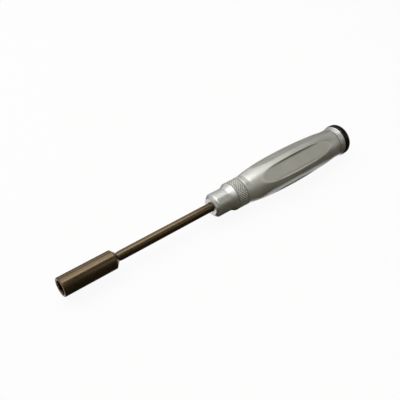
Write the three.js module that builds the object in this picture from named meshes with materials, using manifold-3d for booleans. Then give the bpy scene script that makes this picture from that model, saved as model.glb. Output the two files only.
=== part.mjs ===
// Nut driver with an exchangeable hex tip, a barrel grip with sunk panels and a palm cap on a ball bearing.
// Lengths are millimetres. The driver lies along X, mouth towards -X, on the rims of its lowest panel.

import * as THREE from 'three';
import { mergeVertices, toCreasedNormals } from 'three/addons/utils/BufferGeometryUtils.js';
import Module from 'manifold-3d';

const wasm = await Module();
wasm.setup();

// Clearances
const FIT = 0.15; // radial and axial play between pieces that are pressed or screwed together
const SEAM = 0.25; // visible joint line between neighbours on the outside
const SPIN_GAP = 0.3; // between the palm cap and the ferrule

// Tip
const NUT_ACROSS_FLATS = 7;
const NUT_DEPTH = 12;
const STUD_BORE = 5.9; // clearance for the stud behind the hexagon
const SOCKET_DIAMETER = 10;
const SOCKET_LENGTH = 28.4; // mouth to the edge of the shoulder
const SHOULDER_LENGTH = 2;
const SHOULDER_END_DIAMETER = 5.9;
const MOUTH_CHAMFER = 0.35;
const SHAFT_DIAMETER = 5;
const SHAFT_REACH = 59.6; // bare shaft between the shoulder and the nose
const SHAFT_IN_SOCKET = 9;
const SHAFT_IN_NOSE = 13;
const SHAFT_CHAMFER = 0.5;
const RELIEF_DIAMETER = 4.5; // short neck behind the shoulder
const RELIEF_LENGTH = 2;

// Nose and its set screw
const NOSE_FACE_DIAMETER = 9.5;
const NOSE_DIAMETER = 13.25;
const NOSE_CONE_LENGTH = 2.1;
const NOSE_ROUNDNESS = 0.45; // 0 is a straight cone, 1 a full round
const NOSE_BARREL_LENGTH = 7.5;
const COVE_LENGTH = 4.2;
const COVE_HOLLOW = 1.7; // above 1 hollows the flare
const SPIGOT_DIAMETER = 10;
const SPIGOT_IN_GRIP = 8;
const SET_SCREW_DIAMETER = 3;
const SET_SCREW_LENGTH = 4;
const SET_SCREW_SETBACK = 5.9; // nose front to the screw's axis
const SET_SCREW_ANGLE = -30; // degrees about X from +Y
const SET_SCREW_KEY = 1.5;
const SET_SCREW_KEY_DEPTH = 1.6;
const SHAFT_FLAT_DEPTH = 0.5;
const SHAFT_FLAT_LENGTH = 6;

// Knurled ring
const COLLAR_DIAMETER = 16.1; // nose flare, knurled ring and grip front share this size
const KNURL_LENGTH = 6.4;
const KNURL_DEPTH = 0.3;
const KNURL_DIAMONDS = 30; // diamonds round the ring
const KNURL_ROWS = 9; // half diamonds along the ring

// Grip
const GRIP_LENGTH = 73.7;
const NECK_LENGTH = 3.6; // plain band behind the knurled ring
const BELLY_DIAMETER = 21.5;
const BELLY_SETBACK = 34.2; // end of the neck to the widest place
const WAIST_DIAMETER = 17.5;
const WAIST_LENGTH = 3.2;
const FRONT_FULLNESS = 0.8; // below 1 fills out the shoulder of the barrel
const REAR_FULLNESS = 2.1; // above 2 fills out the rear of the barrel
const PANEL_COUNT = 5; // long panels sunk into the barrel
const PANEL_REACH = 8.8; // axis to the middle of a panel's floor
const PANEL_LENGTH = 55; // tip to tip
const PANEL_SCOOP = 0.5; // rise of the floor from its middle to its tips
const PANEL_WIDTH = 10.3; // of the cutter that sinks a panel
const PANEL_CORNER = 1.6; // rounding of the cutter's edges
const GRIP_BORE = 8;
const EDGE = 0.3; // broken corners

// Tail ferrule
const FERRULE_LENGTH = 3.6;
const FERRULE_DIAMETER = 18.6;
const FERRULE_SWEEP = 2.5; // above 1 hollows the flare
const FERRULE_GROOVES = 3;
const GROOVE_WIDTH = 0.5;
const GROOVE_DEPTH = 0.28;
const FERRULE_SPIGOT_DIAMETER = 13.4;
const FERRULE_SPIGOT_LENGTH = 8;
const FERRULE_BORE = 8.4;

// Swivel bearing
const BEARING_BORE = 4;
const BEARING_DIAMETER = 11;
const BEARING_WIDTH = 4;
const BALL_DIAMETER = 2;
const BALL_COUNT = 7;
const RACE_SPACE = 1.7; // radial space between the shoulders of the two races
const CAGE_WALL = 0.8;
const CAGE_WIDTH = 3.1;
const CLIP_THICKNESS = 0.6;
const CLIP_BAND = 1.1;
const CLIP_BITE = 0.4; // how far the clip reaches into its groove
const CLIP_INSET = 0.6; // ferrule end to the clip's groove
const CLIP_GAP_ANGLE = 40; // degrees between the middles of the lugs
const LUG_RADIUS = 0.85;
const LUG_HOLE = 0.8;

// Palm cap and its screw
const CAP_DIAMETER = 19.1;
const CAP_LENGTH = 4.65;
const CAP_ROUND = 2.2;
const CAP_CHAMFER = 0.6;
const CAP_SCREW_THREAD = 3;
const CAP_SCREW_BITE = 2.9; // thread length in the cap
const CAP_SCREW_HEAD = 6.4;
const CAP_SCREW_HEAD_LENGTH = 2;
const CAP_SCREW_KEY = 2.5;
const CAP_SCREW_KEY_DEPTH = 1.2;
const CAP_WASHER_DIAMETER = 5.5;
const CAP_WASHER_THICKNESS = 0.4;

// Fineness of the round faces
const FINE_SIDES = 60;
const ROUND_SIDES = 40;
const SMALL_SIDES = 24;
const TINY_SIDES = 12;
const CURVE_STEPS = 7;
const BARREL_STEPS = 12;
const PANEL_STEPS = 6;
const CREASE = THREE.MathUtils.degToRad(28);
const MERGE_DISTANCE = 1e-4;

// Places along the driver, measured from the mouth
const shoulderEnd = SOCKET_LENGTH + SHOULDER_LENGTH;
const noseFront = shoulderEnd + SHAFT_REACH;
const barrelFront = noseFront + NOSE_CONE_LENGTH;
const coveFront = barrelFront + NOSE_BARREL_LENGTH;
const flareEnd = coveFront + COVE_LENGTH;
const knurlFront = flareEnd + SEAM;
const knurlEnd = knurlFront + KNURL_LENGTH;
const gripFront = knurlEnd + SEAM;
const neckEnd = gripFront + NECK_LENGTH;
const bellyAt = neckEnd + BELLY_SETBACK;
const gripEnd = gripFront + GRIP_LENGTH;
const ferruleFront = gripEnd + SEAM;
const ferruleEnd = ferruleFront + FERRULE_LENGTH;
const capFront = ferruleEnd + SPIN_GAP;
const capEnd = capFront + CAP_LENGTH;
const clipRear = ferruleEnd - CLIP_INSET - FIT;
const clipFront = clipRear - CLIP_THICKNESS;
const bearingRear = clipFront - FIT;
const bearingFront = bearingRear - BEARING_WIDTH;
const bearingMiddle = (bearingFront + bearingRear) / 2;
const washerRear = bearingFront - FIT;
const screwHeadRear = washerRear - CAP_WASHER_THICKNESS - FIT;
const spigotEnd = gripFront + SPIGOT_IN_GRIP;
const ferruleSpigotFront = ferruleFront - FERRULE_SPIGOT_LENGTH;

// Radii that several pieces share
const ballCircle = (BEARING_BORE + BEARING_DIAMETER) / 4;
const innerLand = ballCircle - RACE_SPACE / 2;
const outerLand = ballCircle + RACE_SPACE / 2;
const bearingSeat = BEARING_DIAMETER / 2 + FIT;

// Distance from the axis to the rims of a panel at the belly, measured square to the panel
function rimHeight() {
  const belly = BELLY_DIAMETER / 2;
  const across = PANEL_WIDTH / 2 - PANEL_CORNER;
  const up = PANEL_REACH + PANEL_CORNER;
  const distance = Math.hypot(across, up);
  const along = (belly ** 2 - PANEL_CORNER ** 2 + distance ** 2) / (2 * distance);
  const aside = Math.sqrt(Math.max(0, belly ** 2 - along ** 2));
  return (along * up - aside * across) / distance;
}

const driver = new THREE.Group();
driver.position.set(-capEnd / 2, 0, rimHeight());

// Closed geometry to a solid that can be cut and joined
function solid(geometry) {
  geometry.deleteAttribute('normal');
  geometry.deleteAttribute('uv');
  const merged = mergeVertices(geometry, MERGE_DISTANCE);
  const corners = merged.index.array;
  const kept = [];
  for (let i = 0; i < corners.length; i += 3) {
    const [a, b, c] = corners.slice(i, i + 3);
    if (a !== b && b !== c && c !== a) kept.push(a, b, c);
  }
  const vertProperties = new Float32Array(merged.attributes.position.array);
  const triVerts = new Uint32Array(kept);
  return new wasm.Manifold(new wasm.Mesh({ numProp: 3, vertProperties, triVerts }));
}

// Turned solid about X from [x, radius] points that run front to back along the outside
function turned(profile, sides) {
  const points = profile.map(([x, radius]) => new THREE.Vector2(radius, x));
  const geometry = new THREE.LatheGeometry(points, sides);
  geometry.rotateZ(-Math.PI / 2);
  return solid(geometry);
}

// Turned ring: outside points front to back, then inside points back to front
function turnedRing(outside, inside, sides) {
  return turned([...outside, ...inside, outside[0]], sides);
}

// Plain rod about X
function rod(front, rear, diameter, sides) {
  const radius = diameter / 2;
  return turned([[front, 0], [front, radius], [rear, radius], [rear, 0]], sides);
}

// Hexagon bar about X with a flat facing up
function hexBar(front, rear, acrossFlats) {
  const corner = acrossFlats / Math.sqrt(3);
  const geometry = new THREE.CylinderGeometry(corner, corner, rear - front, 6);
  geometry.rotateZ(-Math.PI / 2);
  geometry.rotateX(Math.PI / 6);
  geometry.translate((front + rear) / 2, 0, 0);
  return solid(geometry);
}

// Bar that points out from the axis at an angle about X
function radialBar(x, degrees, inner, outer, diameter, sides) {
  const geometry = new THREE.CylinderGeometry(diameter / 2, diameter / 2, outer - inner, sides);
  geometry.translate(0, (inner + outer) / 2, 0);
  geometry.rotateX(THREE.MathUtils.degToRad(degrees));
  geometry.translate(x, 0, 0);
  return solid(geometry);
}

// Points along a stretch whose radius follows a rule of its share from 0 to 1
function stretch(front, rear, steps, radiusAt) {
  const points = [];
  for (let i = 0; i <= steps; i += 1) {
    const share = i / steps;
    points.push([front + share * (rear - front), radiusAt(share)]);
  }
  return points;
}

function finish(color, roughness, metalness) {
  return new THREE.MeshStandardMaterial({ color, roughness, metalness });
}

function addPart(name, body, material) {
  const { vertProperties, triVerts } = body.getMesh();
  const geometry = new THREE.BufferGeometry();
  geometry.setAttribute('position', new THREE.BufferAttribute(vertProperties, 3));
  geometry.setIndex(new THREE.BufferAttribute(triVerts, 1));
  const part = new THREE.Mesh(toCreasedNormals(geometry, CREASE), material);
  part.name = name;
  driver.add(part);
}

function makeSocket() {
  const radius = SOCKET_DIAMETER / 2;
  const shaftSeat = SHAFT_DIAMETER + 2 * FIT;
  const outside = [
    [0, radius - MOUTH_CHAMFER],
    [MOUTH_CHAMFER, radius],
    [SOCKET_LENGTH, radius],
    [SOCKET_LENGTH + EDGE, radius - EDGE / 2],
    [shoulderEnd, SHOULDER_END_DIAMETER / 2],
  ];
  const blank = turned([[0, 0], ...outside, [shoulderEnd, 0]], ROUND_SIDES);
  const shaftStop = shoulderEnd - SHAFT_IN_SOCKET - FIT;
  const hollow = hexBar(-EDGE, NUT_DEPTH, NUT_ACROSS_FLATS)
    .add(rod(NUT_DEPTH - EDGE, shaftStop, STUD_BORE, SMALL_SIDES))
    .add(rod(shaftStop - EDGE, shoulderEnd + EDGE, shaftSeat, SMALL_SIDES));
  addPart('socket', blank.subtract(hollow), finish(0x4b3d30, 0.28, 1));
}

function makeShaft() {
  const radius = SHAFT_DIAMETER / 2;
  const front = shoulderEnd - SHAFT_IN_SOCKET;
  const rear = noseFront + SHAFT_IN_NOSE;
  const blank = turned([
    [front, 0],
    [front, radius],
    [shoulderEnd, radius],
    [shoulderEnd, RELIEF_DIAMETER / 2],
    [shoulderEnd + RELIEF_LENGTH / 2, RELIEF_DIAMETER / 2],
    [shoulderEnd + RELIEF_LENGTH, radius],
    [rear - SHAFT_CHAMFER, radius],
    [rear, radius - SHAFT_CHAMFER],
    [rear, 0],
  ], SMALL_SIDES);
  const cutter = new THREE.BoxGeometry(SHAFT_FLAT_LENGTH, SHAFT_DIAMETER, 2 * SHAFT_DIAMETER);
  cutter.translate(0, SHAFT_DIAMETER - SHAFT_FLAT_DEPTH, 0);
  cutter.rotateX(THREE.MathUtils.degToRad(SET_SCREW_ANGLE));
  cutter.translate(noseFront + SET_SCREW_SETBACK, 0, 0);
  addPart('shaft', blank.subtract(solid(cutter)), finish(0x4a3a2d, 0.25, 1));
}

function makeNose() {
  const face = NOSE_FACE_DIAMETER / 2;
  const barrel = NOSE_DIAMETER / 2;
  const flare = COLLAR_DIAMETER / 2;
  const spigot = SPIGOT_DIAMETER / 2;
  const roundness = (share) => THREE.MathUtils.lerp(share, Math.sin(share * Math.PI / 2), NOSE_ROUNDNESS);
  const cone = (share) => face + (barrel - face) * roundness(share);
  const cove = (share) => barrel + (flare - barrel) * share ** COVE_HOLLOW;
  const blank = turned([
    [noseFront, 0],
    ...stretch(noseFront, barrelFront, CURVE_STEPS, cone),
    ...stretch(coveFront, flareEnd - EDGE, CURVE_STEPS, cove),
    [flareEnd, flare - EDGE],
    [flareEnd, spigot],
    [spigotEnd - EDGE, spigot],
    [spigotEnd, spigot - EDGE],
    [spigotEnd, 0],
  ], ROUND_SIDES);
  const boreEnd = noseFront + SHAFT_IN_NOSE + FIT;
  const shaftBore = rod(noseFront - EDGE, boreEnd, SHAFT_DIAMETER + 2 * FIT, SMALL_SIDES);
  const screwAt = noseFront + SET_SCREW_SETBACK;
  const tapping = SET_SCREW_DIAMETER + 2 * FIT;
  const screwHole = radialBar(screwAt, SET_SCREW_ANGLE, 0, NOSE_DIAMETER, tapping, TINY_SIDES);
  addPart('nose', blank.subtract(shaftBore).subtract(screwHole), finish(0xcfd1d2, 0.2, 1));
}

function makeSetScrew() {
  const screwAt = noseFront + SET_SCREW_SETBACK;
  const tip = SHAFT_DIAMETER / 2 - SHAFT_FLAT_DEPTH + FIT;
  const top = tip + SET_SCREW_LENGTH;
  const keyCorners = 2 * SET_SCREW_KEY / Math.sqrt(3);
  const body = radialBar(screwAt, SET_SCREW_ANGLE, tip, top, SET_SCREW_DIAMETER, TINY_SIDES);
  const key = radialBar(screwAt, SET_SCREW_ANGLE, top - SET_SCREW_KEY_DEPTH, top + EDGE, keyCorners, 6);
  addPart('tip_set_screw', body.subtract(key), finish(0x2b2b2d, 0.45, 1));
}

// Ring whose outside is a grid of peaks and valleys in turn, split along the valleys into diamonds
function makeKnurledRing() {
  const columns = 2 * KNURL_DIAMONDS;
  const positions = [];
  const triangles = [];
  const at = (column, row) => row * columns + (column % columns);
  for (let row = 0; row <= KNURL_ROWS; row += 1) {
    for (let column = 0; column < columns; column += 1) {
      const inside = row > 0 && row < KNURL_ROWS;
      const peak = inside && (row + column) % 2 === 0;
      const radius = COLLAR_DIAMETER / 2 - (peak ? 0 : KNURL_DEPTH);
      const angle = 2 * Math.PI * column / columns;
      const x = knurlFront + KNURL_LENGTH * row / KNURL_ROWS;
      positions.push(x, radius * Math.cos(angle), radius * Math.sin(angle));
    }
  }
  const frontMiddle = positions.length / 3;
  positions.push(knurlFront, 0, 0);
  const rearMiddle = frontMiddle + 1;
  positions.push(knurlEnd, 0, 0);
  for (let column = 0; column < columns; column += 1) {
    for (let row = 0; row < KNURL_ROWS; row += 1) {
      const a = at(column, row);
      const b = at(column + 1, row);
      const c = at(column + 1, row + 1);
      const d = at(column, row + 1);
      if ((row + column) % 2 === 0) triangles.push(a, b, d, b, c, d);
      else triangles.push(a, b, c, a, c, d);
    }
    triangles.push(frontMiddle, at(column + 1, 0), at(column, 0));
    triangles.push(rearMiddle, at(column, KNURL_ROWS), at(column + 1, KNURL_ROWS));
  }
  const geometry = new THREE.BufferGeometry();
  geometry.setAttribute('position', new THREE.Float32BufferAttribute(positions, 3));
  geometry.setIndex(triangles);
  const bore = rod(knurlFront - EDGE, knurlEnd + EDGE, SPIGOT_DIAMETER + 2 * FIT, ROUND_SIDES);
  addPart('knurled_ring', solid(geometry).subtract(bore), finish(0xb9bab8, 0.35, 1));
}

// Bar with two rounded edges and a slight bow that sinks a panel
function panelCutter() {
  const half = PANEL_WIDTH / 2;
  const inner = half - PANEL_CORNER;
  const corner = PANEL_REACH + PANEL_CORNER;
  const section = new THREE.Shape();
  section.moveTo(-half, BELLY_DIAMETER);
  section.lineTo(-half, corner);
  section.absarc(-inner, corner, PANEL_CORNER, Math.PI, 1.5 * Math.PI, false);
  section.absarc(inner, corner, PANEL_CORNER, 1.5 * Math.PI, 2 * Math.PI, false);
  section.lineTo(half, BELLY_DIAMETER);
  const extrusion = { depth: GRIP_LENGTH, steps: PANEL_STEPS, bevelEnabled: false, curveSegments: CURVE_STEPS };
  const bar = new THREE.ExtrudeGeometry(section, extrusion).rotateY(Math.PI / 2).translate(gripFront, 0, 0);
  const corners = bar.attributes.position;
  for (let i = 0; i < corners.count; i += 1) {
    const fromMiddle = (corners.getX(i) - bellyAt) / (PANEL_LENGTH / 2);
    corners.setY(i, corners.getY(i) + PANEL_SCOOP * fromMiddle ** 2);
  }
  return bar;
}

// Plain neck, barrel with a full front shoulder, straight-sided waist and panels sunk all round
function makeGrip() {
  const front = COLLAR_DIAMETER / 2;
  const belly = BELLY_DIAMETER / 2;
  const waist = WAIST_DIAMETER / 2;
  const waistFront = gripEnd - WAIST_LENGTH;
  const shoulder = (share) => front + (belly - front) * (1 - (1 - share) ** 2) ** FRONT_FULLNESS;
  const hip = (share) => waist + (belly - waist) * (1 - share ** REAR_FULLNESS);
  const outside = [
    [gripFront, front - EDGE],
    [gripFront + EDGE, front],
    ...stretch(neckEnd, bellyAt, BARREL_STEPS, shoulder),
    ...stretch(bellyAt, waistFront, BARREL_STEPS, hip).slice(1),
    [gripEnd, waist],
  ];
  const frontSeat = SPIGOT_DIAMETER / 2 + FIT;
  const rearSeat = FERRULE_SPIGOT_DIAMETER / 2 + FIT;
  const rearStop = ferruleSpigotFront - FIT;
  const frontStop = spigotEnd + FIT;
  const inside = [
    [gripEnd, rearSeat],
    [rearStop, rearSeat],
    [rearStop, GRIP_BORE / 2],
    [frontStop, GRIP_BORE / 2],
    [frontStop, frontSeat],
    [gripFront, frontSeat],
  ];
  let barrel = turnedRing(outside, inside, FINE_SIDES);
  for (let i = 0; i < PANEL_COUNT; i += 1) {
    const cutter = panelCutter().rotateX(-Math.PI / 2 + 2 * Math.PI * i / PANEL_COUNT);
    barrel = barrel.subtract(solid(cutter));
  }
  addPart('handle_grip', barrel, finish(0xaeb0aa, 0.38, 1));
}

// Flared ring with grip grooves, screwed into the grip and bored for the bearing
function makeFerrule() {
  const waist = WAIST_DIAMETER / 2;
  const rim = FERRULE_DIAMETER / 2;
  const spigot = FERRULE_SPIGOT_DIAMETER / 2;
  const flareAt = (x) => waist + (rim - waist) * ((x - ferruleFront) / FERRULE_LENGTH) ** FERRULE_SWEEP;
  const pitch = FERRULE_LENGTH / (FERRULE_GROOVES + 1);
  const grooves = [];
  for (let i = 1; i <= FERRULE_GROOVES; i += 1) {
    const x = ferruleFront + i * pitch;
    const front = x - GROOVE_WIDTH / 2;
    const rear = x + GROOVE_WIDTH / 2;
    grooves.push([front, flareAt(front)], [x, flareAt(x) - GROOVE_DEPTH], [rear, flareAt(rear)]);
  }
  const outside = [
    [ferruleSpigotFront, spigot - EDGE],
    [ferruleSpigotFront + EDGE, spigot],
    [ferruleFront, spigot],
    [ferruleFront, waist],
    ...grooves,
    [ferruleEnd, rim],
  ];
  const clipGroove = bearingSeat + CLIP_BITE + FIT;
  const seatStop = bearingFront - FIT;
  const inside = [
    [ferruleEnd, bearingSeat],
    [clipRear + FIT, bearingSeat],
    [clipRear + FIT, clipGroove],
    [clipFront - FIT, clipGroove],
    [clipFront - FIT, bearingSeat],
    [seatStop, bearingSeat],
    [seatStop, FERRULE_BORE / 2],
    [ferruleSpigotFront, FERRULE_BORE / 2],
  ];
  addPart('tail_ferrule', turnedRing(outside, inside, ROUND_SIDES), finish(0xc6c8c7, 0.25, 1));
}

// Groove that a race is ground to, as radius at a share of the bearing's width
function raceGroove(land, side) {
  const track = BALL_DIAMETER / 2 + FIT;
  const halfMouth = Math.sqrt(track ** 2 - (land - ballCircle) ** 2);
  const across = (share) => halfMouth * (2 * share - 1);
  const depth = (share) => ballCircle + side * Math.sqrt(track ** 2 - across(share) ** 2);
  return stretch(bearingMiddle - halfMouth, bearingMiddle + halfMouth, CURVE_STEPS - 1, depth);
}

function makeRaces() {
  const innerOutside = [
    [bearingFront, innerLand],
    ...raceGroove(innerLand, -1),
    [bearingRear, innerLand],
  ];
  const bore = BEARING_BORE / 2;
  const innerRace = turnedRing(innerOutside, [[bearingRear, bore], [bearingFront, bore]], SMALL_SIDES);
  addPart('bearing_inner_race', innerRace, finish(0xbcbec0, 0.2, 1));
  const outerOutside = [[bearingFront, BEARING_DIAMETER / 2], [bearingRear, BEARING_DIAMETER / 2]];
  const outerInside = [
    [bearingRear, outerLand],
    ...raceGroove(outerLand, 1).reverse(),
    [bearingFront, outerLand],
  ];
  const outerRace = turnedRing(outerOutside, outerInside, SMALL_SIDES);
  addPart('bearing_outer_race', outerRace, finish(0xb6b8ba, 0.2, 1));
}

function makeCageAndBalls() {
  const front = bearingMiddle - CAGE_WIDTH / 2;
  const rear = bearingMiddle + CAGE_WIDTH / 2;
  const outer = ballCircle + CAGE_WALL / 2;
  const inner = ballCircle - CAGE_WALL / 2;
  let cage = turnedRing([[front, outer], [rear, outer]], [[rear, inner], [front, inner]], SMALL_SIDES);
  for (let i = 0; i < BALL_COUNT; i += 1) {
    const degrees = 360 * i / BALL_COUNT;
    const pocket = BALL_DIAMETER + 2 * FIT;
    cage = cage.subtract(radialBar(bearingMiddle, degrees, 0, BEARING_DIAMETER, pocket, TINY_SIDES));
    const ball = new THREE.SphereGeometry(BALL_DIAMETER / 2, TINY_SIDES, TINY_SIDES / 2);
    ball.translate(0, ballCircle, 0);
    ball.rotateX(THREE.MathUtils.degToRad(degrees));
    ball.translate(bearingMiddle, 0, 0);
    addPart(`bearing_ball_${i + 1}`, solid(ball), finish(0xd2d4d6, 0.08, 1));
  }
  addPart('bearing_cage', cage, finish(0xa98d4f, 0.35, 1));
}

// Inside circlip: an open band with two drilled lugs
function makeClip() {
  const outer = bearingSeat + CLIP_BITE;
  const inner = outer - CLIP_BAND;
  const lugCircle = outer - CLIP_BITE - FIT - LUG_RADIUS;
  const halfGap = THREE.MathUtils.degToRad(CLIP_GAP_ANGLE / 2);
  const band = new THREE.Shape();
  band.absarc(0, 0, outer, halfGap, 2 * Math.PI - halfGap, false);
  band.absarc(0, 0, inner, 2 * Math.PI - halfGap, halfGap, true);
  const extrusion = { depth: CLIP_THICKNESS, bevelEnabled: false, curveSegments: TINY_SIDES };
  const turnToAxis = (geometry) => geometry.rotateY(Math.PI / 2).translate(clipFront, 0, 0);
  let clip = solid(turnToAxis(new THREE.ExtrudeGeometry(band, extrusion)));
  for (const angle of [halfGap, -halfGap]) {
    const x = lugCircle * Math.cos(angle);
    const y = lugCircle * Math.sin(angle);
    const lug = new THREE.Shape().absarc(x, y, LUG_RADIUS, 0, 2 * Math.PI, false);
    clip = clip.add(solid(turnToAxis(new THREE.ExtrudeGeometry(lug, extrusion))));
    const hole = new THREE.CylinderGeometry(LUG_HOLE / 2, LUG_HOLE / 2, 3 * CLIP_THICKNESS, TINY_SIDES);
    hole.rotateX(Math.PI / 2);
    hole.translate(x, y, CLIP_THICKNESS / 2);
    clip = clip.subtract(solid(turnToAxis(hole)));
  }
  addPart('bearing_circlip', clip, finish(0x3a3b3d, 0.4, 1));
}

// Black cap whose boss stands on the inner race
function makeCap() {
  const radius = CAP_DIAMETER / 2;
  const hole = CAP_SCREW_THREAD / 2 + FIT;
  const bossFront = bearingRear + FIT;
  const holeEnd = bossFront + CAP_SCREW_BITE + FIT;
  const rounding = stretch(0, 1, CURVE_STEPS - 2, (share) => share).map(([share]) => {
    const angle = share * Math.PI / 2;
    return [capEnd - CAP_ROUND * (1 - Math.sin(angle)), radius - CAP_ROUND * (1 - Math.cos(angle))];
  });
  const cap = turned([
    [holeEnd, 0],
    [holeEnd, hole],
    [bossFront, hole],
    [bossFront, innerLand],
    [capFront, innerLand],
    [capFront, radius - CAP_CHAMFER],
    [capFront + CAP_CHAMFER, radius],
    ...rounding,
    [capEnd, 0],
  ], ROUND_SIDES);
  addPart('swivel_cap', cap, finish(0x121213, 0.35, 0));
}

// Shoulder screw that carries the cap, with the washer under its head
function makeCapScrew() {
  const head = CAP_SCREW_HEAD / 2;
  const shoulder = BEARING_BORE / 2 - FIT;
  const thread = CAP_SCREW_THREAD / 2;
  const headFront = screwHeadRear - CAP_SCREW_HEAD_LENGTH;
  const shoulderEnds = bearingRear;
  const blank = turned([
    [headFront, 0],
    [headFront, head - EDGE],
    [headFront + EDGE, head],
    [screwHeadRear, head],
    [screwHeadRear, shoulder],
    [shoulderEnds, shoulder],
    [shoulderEnds, thread],
    [shoulderEnds + CAP_SCREW_BITE, thread],
    [shoulderEnds + CAP_SCREW_BITE, 0],
  ], SMALL_SIDES);
  const key = hexBar(headFront - EDGE, headFront + CAP_SCREW_KEY_DEPTH, CAP_SCREW_KEY);
  addPart('cap_screw', blank.subtract(key), finish(0x2c2c2e, 0.4, 1));
  const washer = CAP_WASHER_DIAMETER / 2;
  const front = washerRear - CAP_WASHER_THICKNESS;
  const hole = BEARING_BORE / 2;
  const rim = [[front, washer], [washerRear, washer]];
  const ring = turnedRing(rim, [[washerRear, hole], [front, hole]], SMALL_SIDES);
  addPart('cap_washer', ring, finish(0xc4c5c6, 0.3, 1));
}

makeSocket();
makeShaft();
makeNose();
makeSetScrew();
makeKnurledRing();
makeGrip();
makeFerrule();
makeRaces();
makeCageAndBalls();
makeClip();
makeCap();
makeCapScrew();

export default driver;
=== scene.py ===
"""Looks of a nut driver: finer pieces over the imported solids, their finishes, a pale floor and soft light."""

import math

import bpy
from mathutils import Matrix, Vector


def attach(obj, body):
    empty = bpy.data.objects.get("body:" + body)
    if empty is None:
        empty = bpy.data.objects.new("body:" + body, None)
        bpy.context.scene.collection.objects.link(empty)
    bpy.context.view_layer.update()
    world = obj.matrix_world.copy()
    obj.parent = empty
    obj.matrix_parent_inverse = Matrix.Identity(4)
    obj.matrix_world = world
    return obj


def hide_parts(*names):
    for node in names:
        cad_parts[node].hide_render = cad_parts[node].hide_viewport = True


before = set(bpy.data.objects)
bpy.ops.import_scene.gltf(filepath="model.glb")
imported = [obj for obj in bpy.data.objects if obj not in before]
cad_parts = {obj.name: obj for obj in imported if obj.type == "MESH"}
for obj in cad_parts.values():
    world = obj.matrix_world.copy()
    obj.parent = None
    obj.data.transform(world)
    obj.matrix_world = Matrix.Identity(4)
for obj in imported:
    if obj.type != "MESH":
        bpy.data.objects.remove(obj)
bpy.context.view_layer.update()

# Places along the driver in millimetres from the mouth, and radii. Main sizes are the solids' own;
# edges are finer, and the belly is 0.002 less, to stay inside the solids' box
SOCKET_END, SHOULDER_END = 28.4, 30.4
SOCKET_RADIUS, SHOULDER_END_RADIUS = 5.0, 2.95
NUT_HALF_WIDTH, NUT_DEPTH, NUT_LEAD_IN = 3.5, 12.0, 4.2
STUD_BORE, STUD_BORE_END = 2.95, 21.25
MOUTH_EDGE = 0.3

SHAFT_FRONT, SHAFT_END, SHAFT_RADIUS, SHAFT_SEAT = 21.4, 103.0, 2.5, 2.65
SHAFT_CHAMFER = 0.5
RELIEF_RADIUS, RELIEF_LENGTH = 2.25, 2.0
SCREW_PLACE, SCREW_ANGLE, SCREW_RADIUS, SCREW_HOLE = 95.9, math.radians(-30), 1.5, 1.65
SCREW_TIP, SCREW_TOP, SCREW_KEY, SCREW_KEY_DEPTH = 2.15, 6.15, 0.75, 1.6
SCREW_POINT, SCREW_TIP_CHAMFER, SCREW_TOP_CHAMFER = 0.4, 0.3, 0.2
SCREW_KEY_MOUTH, SCREW_KEY_LEAD, SCREW_KEY_POINT = 1.0, 0.1, 0.2
SCREW_FLAT, SCREW_FLAT_HALF, SCREW_FLAT_STEP = 2.0, 3.0, 0.02
DRILL_REACH = 12

NOSE_FRONT, BARREL_FRONT, COVE_FRONT, FLARE_END = 90.0, 92.1, 99.6, 103.8
NOSE_FACE, NOSE_BARREL, COLLAR = 4.75, 6.625, 8.05
NOSE_ROUNDNESS, COVE_HOLLOW = 0.45, 1.7
SPIGOT, SPIGOT_END, SHAFT_BORE_END = 5.0, 118.7, 103.15
NOSE_BORE_LEAD, NOSE_CHAMFER = 1, 0.3

KNURL_FRONT, KNURL_END, KNURL_DEPTH, KNURL_DIAMONDS, KNURL_DIAGONALS = 104.05, 110.45, 0.3, 30, 4.5
KNURL_EDGE, KNURL_STEEPNESS, KNURL_BLUNTNESS = 0.25, 2.7, 0.2
GRIP_FRONT, NECK_END, BELLY_PLACE, WAIST_FRONT, GRIP_END = 110.7, 114.3, 148.5, 181.2, 184.4
BELLY, WAIST, FRONT_FULLNESS, REAR_FULLNESS, GRIP_EDGE = 10.748, 8.75, 0.8, 2.1, 0.3
PANEL_COUNT, PANEL_REACH, PANEL_HALF_WIDTH, PANEL_CORNER, PANEL_RIM = 5, 8.8, 5.15, 1.6, 0.08
PANEL_HALF_LENGTH, PANEL_SCOOP = 27.5, 0.5
FRONT_SEAT, GRIP_BORE, REAR_SEAT, FRONT_STOP, REAR_STOP = 5.15, 4.0, 6.85, 118.85, 176.5

FERRULE_FRONT, FERRULE_END, FERRULE_RIM, FERRULE_SWEEP = 184.65, 188.25, 9.3, 2.5
FERRULE_GROOVES, GROOVE_WIDTH, GROOVE_DEPTH, GROOVE_FLOOR_SHARE = 3, 0.5, 0.28, 0.36
FERRULE_SPIGOT, FERRULE_SPIGOT_FRONT, FERRULE_BORE = 6.7, 176.65, 4.2
BEARING_SEAT, BEARING_STOP, CLIP_GROOVE, CLIP_FRONT, CLIP_REAR = 5.65, 182.6, 6.2, 186.75, 187.65

CAP_FRONT, CAP_END, CAP_RADIUS, CAP_ROUND, CAP_CHAMFER = 188.55, 193.2, 9.55, 2.2, 0.6
CAP_BOSS, CAP_BOSS_FRONT, CAP_HOLE, CAP_HOLE_END, CAP_DISC = 2.9, 186.9, 1.65, 189.95, 2.0

# Small roundings of edges, and steps round and along the pieces
SOCKET_ROUND, SHAFT_ROUND, NOSE_ROUND = 0.16, 0.3, 0.14
SCREW_ROUND, FERRULE_ROUND, CAP_EDGE_ROUND = 0.08, 0.12, 0.12
ROUND_COLUMNS, SHAFT_COLUMNS, SCREW_COLUMNS, DRILL_COLUMNS = 144, 72, 48, 32
CONE_STEPS, COVE_STEPS, CAP_STEPS = 8, 16, 12
KNURL_ROWS, COLUMNS_PER_DIAMOND, GRIP_ROWS, GRIP_COLUMNS = 57, 12, 150, 600

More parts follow.
